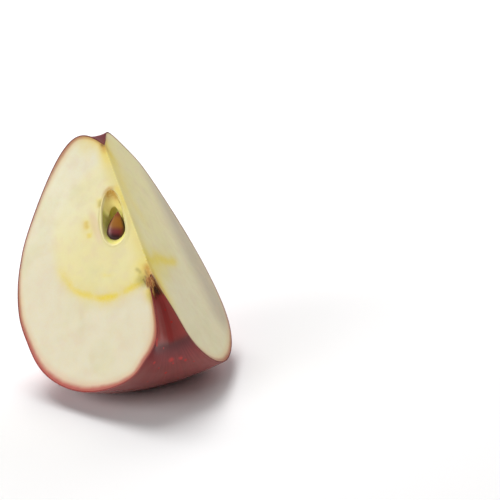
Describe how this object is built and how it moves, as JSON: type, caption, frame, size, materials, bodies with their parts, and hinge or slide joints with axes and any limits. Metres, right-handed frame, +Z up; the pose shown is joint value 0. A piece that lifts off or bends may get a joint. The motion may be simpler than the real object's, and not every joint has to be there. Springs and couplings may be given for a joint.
{
  "type": "apple slice",
  "caption": "Quarter of a red apple, cut from the calyx to the stem cavity, lying back on its skin, with a seed in its open seed chamber",
  "frame": {"origin": "On the ground, under the middle of the slice's box.", "axes": "+Z is up. The core edge faces -Y and the skin side is towards +Y. The cut face with the seed chamber looks to -X and forwards, the other cut face to +X and forwards, and the plane X = 0 runs nearly along the middle of the wedge. The core leans back by 50.4 degrees, with the calyx end up."},
  "size_m": [0.0554, 0.0526, 0.0588],
  "materials": {
    "flesh": "satin",
    "peel": "gloss",
    "chamber_lining": "satin",
    "dried_fibre": "matte",
    "seed_coat": "gloss"
  },
  "bodies": {
    "root": {"slice": "flesh", "seed": "seed_coat"}
  },
  "joints": []
}
